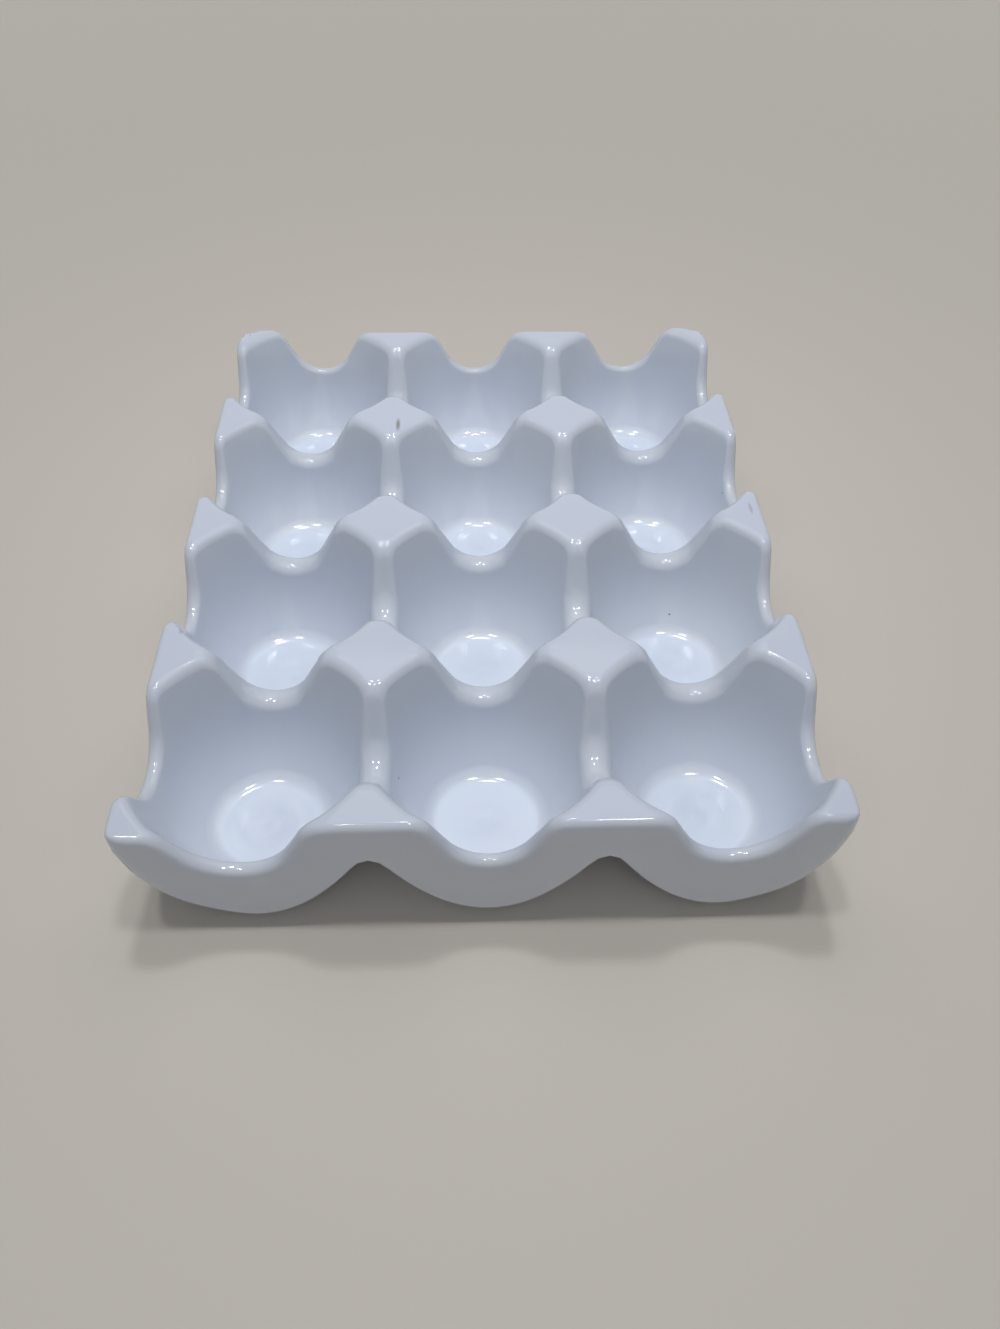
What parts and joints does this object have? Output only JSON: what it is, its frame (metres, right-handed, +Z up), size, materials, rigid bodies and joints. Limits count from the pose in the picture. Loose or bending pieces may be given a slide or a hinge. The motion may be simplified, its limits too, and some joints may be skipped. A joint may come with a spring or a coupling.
{
  "type": "ceramic egg crate",
  "caption": "Glazed ceramic tray of round egg cups in a rectangular grid, with scalloped ridges, flat diamond-topped posts and straight trimmed sides.",
  "frame": {"origin": "on the table, under the middle of the crate", "axes": "+Z up, +Y along the longer side, +X along the shorter side"},
  "size_m": [0.154, 0.2048, 0.0355],
  "materials": {
    "white_glaze": "glossy white glaze with a slight cool tint, fired over pale clay"
  },
  "bodies": {
    "root": {"crate": "white_glaze"}
  },
  "joints": []
}
